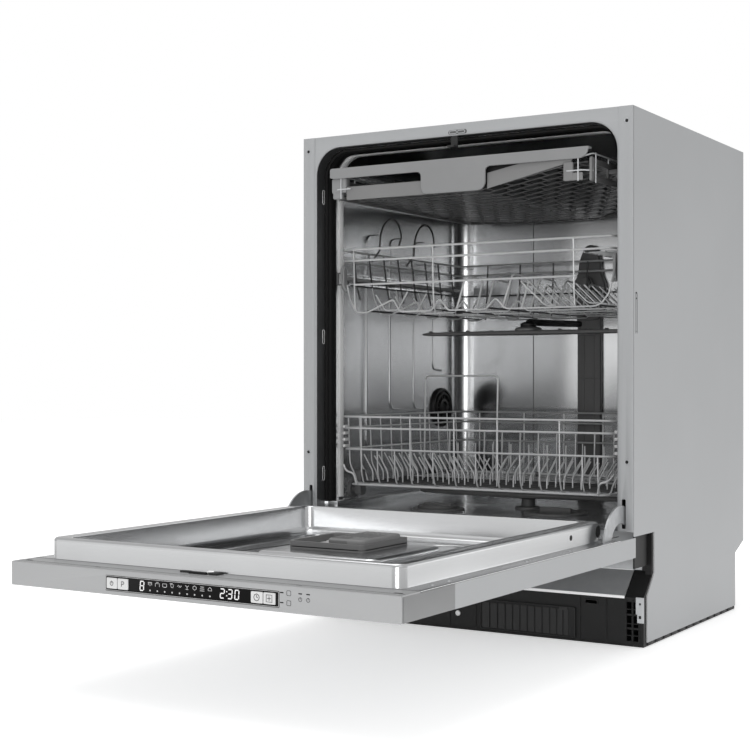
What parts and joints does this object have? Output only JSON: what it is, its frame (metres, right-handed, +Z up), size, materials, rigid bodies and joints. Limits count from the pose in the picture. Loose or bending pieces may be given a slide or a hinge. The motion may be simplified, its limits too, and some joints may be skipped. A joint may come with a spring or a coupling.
{
  "type": "built-in dishwasher",
  "caption": "Fully integrated built-in dishwasher with a drop-down door, steel tub, cutlery tray, two sliding racks, spray arms and the works in its base.",
  "frame": {"origin": "centre of the cabinet's footprint on the floor, on the underside of the base", "axes": "+Z up, +Y from the door towards the back, +X to the right for someone facing the machine; the door is open at rest"},
  "size_m": [0.598, 1.2096, 0.82],
  "materials": {
    "painted_steel": "satin grey coil coating",
    "stainless": "fine brushed stainless",
    "zinc_steel": "galvanised, faintly spangled",
    "black_plastic": "fine moulded grain",
    "grey_plastic": "satin moulded",
    "silver_plastic": "metallic lacquer",
    "window_gloss": "gloss black",
    "seal_rubber": "matt rubber",
    "coated_wire": "nylon-coated wire",
    "felt": "needled felt",
    "cast_iron": "as cast",
    "white_plastic": "moulded"
  },
  "bodies": {
    "cabinet": {"side_panel_left": "painted_steel", "side_panel_right": "painted_steel", "front_frame": "painted_steel", "door_gasket": "seal_rubber", "back_panel": "zinc_steel", "sound_mat_top": "felt", "tub_wall_left": "stainless", "tub_wall_right": "stainless", "tub_ceiling": "stainless", "tub_wall_back": "stainless", "tub_floor": "stainless", "water_duct": "grey_plastic", "vent_cap": "black_plastic", "rail_upper_left": "stainless", "rail_upper_right": "stainless", "rail_tray_left": "stainless", "rail_tray_right": "stainless", "base_tray": "black_plastic", "foot_front_left": "black_plastic", "foot_front_right": "black_plastic", "foot_rear": "black_plastic", "sill_panel": "zinc_steel", "service_panel": "black_plastic", "corner_bracket_left": "zinc_steel", "corner_bracket_right": "zinc_steel", "sump_housing": "grey_plastic", "softener_tank": "white_plastic", "wash_pump": "black_plastic", "drain_pump": "white_plastic", "inlet_valve": "white_plastic", "counterweight": "cast_iron", "door_striker": "zinc_steel", "hinge_bracket_left": "zinc_steel", "hinge_bracket_right": "zinc_steel"},
    "door": {"door_outer_panel": "painted_steel", "door_inner_liner": "stainless", "control_fascia": "silver_plastic", "display_window": "window_gloss", "door_latch": "black_plastic", "dispenser_body": "grey_plastic", "hinge_arm_left": "zinc_steel", "hinge_arm_right": "zinc_steel"},
    "dispenser_lid": {"dispenser_lid": "grey_plastic"},
    "button_1": {"button_1": "silver_plastic"},
    "button_2": {"button_2": "silver_plastic"},
    "button_3": {"button_3": "silver_plastic"},
    "button_4": {"button_4": "silver_plastic"},
    "filter": {"filter_cup": "grey_plastic"},
    "salt_cap": {"salt_cap": "grey_plastic"},
    "lower_spray_arm": {"spray_arm_lower": "grey_plastic"},
    "upper_spray_arm": {"spray_arm_upper": "black_plastic"},
    "tray": {"cutlery_tray": "grey_plastic"},
    "upper_rack": {"upper_basket": "coated_wire"},
    "cup_shelf": {"cup_shelf": "coated_wire"},
    "lower_rack": {"lower_basket": "coated_wire"},
    "tine_row": {"tine_row": "coated_wire"},
    "wheel_front_left": {"wheel_front_left": "grey_plastic"},
    "wheel_front_right": {"wheel_front_right": "grey_plastic"},
    "wheel_rear_left": {"wheel_rear_left": "grey_plastic"},
    "wheel_rear_right": {"wheel_rear_right": "grey_plastic"}
  },
  "joints": [
    {"name": "door_hinge", "type": "hinge", "parent": "cabinet", "child": "door", "pos_m": [0, -0.28325, 0.15675], "axis": [-1, 0, 0], "range_deg": [0, 90]},
    {"name": "dispenser_lid_slide", "type": "slide", "parent": "door", "child": "dispenser_lid", "axis": [-1, 0, 0], "range_m": [0, 0.056]},
    {"name": "button_1_press", "type": "slide", "parent": "door", "child": "button_1", "axis": [0, 1, 0], "range_m": [0, 0.0015], "stiffness_N_per_m": 1000},
    {"name": "button_2_press", "type": "slide", "parent": "door", "child": "button_2", "axis": [0, 1, 0], "range_m": [0, 0.0015], "stiffness_N_per_m": 1000},
    {"name": "button_3_press", "type": "slide", "parent": "door", "child": "button_3", "axis": [0, 1, 0], "range_m": [0, 0.0015], "stiffness_N_per_m": 1000},
    {"name": "button_4_press", "type": "slide", "parent": "door", "child": "button_4", "axis": [0, 1, 0], "range_m": [0, 0.0015], "stiffness_N_per_m": 1000},
    {"name": "filter_turn", "type": "hinge", "parent": "cabinet", "child": "filter", "pos_m": [0.085, -0.0765, 0.15], "axis": [0, 0, 1], "range_deg": [0, 90]},
    {"name": "salt_cap_turn", "type": "hinge", "parent": "cabinet", "child": "salt_cap", "pos_m": [-0.12, -0.1165, 0.188], "axis": [0, 0, 1], "range_deg": [0, 270]},
    {"name": "lower_arm_spin", "type": "hinge", "parent": "cabinet", "child": "lower_spray_arm", "pos_m": [0.005, -0.0165, 0.206], "axis": [0, 0, 1], "continuous": true},
    {"name": "tray_slide", "type": "slide", "parent": "cabinet", "child": "tray", "axis": [0, 1, 0], "range_m": [-0.42, 0]},
    {"name": "upper_rack_slide", "type": "slide", "parent": "cabinet", "child": "upper_rack", "axis": [0, 1, 0], "range_m": [-0.45, 0]},
    {"name": "upper_arm_spin", "type": "hinge", "parent": "upper_rack", "child": "upper_spray_arm", "pos_m": [0.005, -0.0165, 0.49], "axis": [0, 0, 1], "continuous": true},
    {"name": "cup_shelf_fold", "type": "hinge", "parent": "upper_rack", "child": "cup_shelf", "pos_m": [0.24, -0.0065, 0.614], "axis": [0, 1, 0], "range_deg": [0, 80]},
    {"name": "lower_rack_slide", "type": "slide", "parent": "cabinet", "child": "lower_rack", "axis": [0, 1, 0], "range_m": [-0.48, 0]},
    {"name": "tine_row_fold", "type": "hinge", "parent": "lower_rack", "child": "tine_row", "pos_m": [0, 0.0335, 0.24], "axis": [1, 0, 0], "range_deg": [-85, 0]},
    {"name": "wheel_front_left_roll", "type": "hinge", "parent": "lower_rack", "child": "wheel_front_left", "pos_m": [-0.26, -0.1715, 0.217], "axis": [1, 0, 0], "range_deg": [0, 1720]},
    {"name": "wheel_rear_left_roll", "type": "hinge", "parent": "lower_rack", "child": "wheel_rear_left", "pos_m": [-0.26, 0.1635, 0.217], "axis": [1, 0, 0], "range_deg": [0, 1720]},
    {"name": "wheel_front_right_roll", "type": "hinge", "parent": "lower_rack", "child": "wheel_front_right", "pos_m": [0.26, -0.1715, 0.217], "axis": [1, 0, 0], "range_deg": [0, 1720]},
    {"name": "wheel_rear_right_roll", "type": "hinge", "parent": "lower_rack", "child": "wheel_rear_right", "pos_m": [0.26, 0.1635, 0.217], "axis": [1, 0, 0], "range_deg": [0, 1720]}
  ],
  "couplings": [
    {"joint": "wheel_front_left_roll", "follows": "lower_rack_slide", "rad_per_m": -62.5},
    {"joint": "wheel_rear_left_roll", "follows": "lower_rack_slide", "rad_per_m": -62.5},
    {"joint": "wheel_front_right_roll", "follows": "lower_rack_slide", "rad_per_m": -62.5},
    {"joint": "wheel_rear_right_roll", "follows": "lower_rack_slide", "rad_per_m": -62.5}
  ]
}
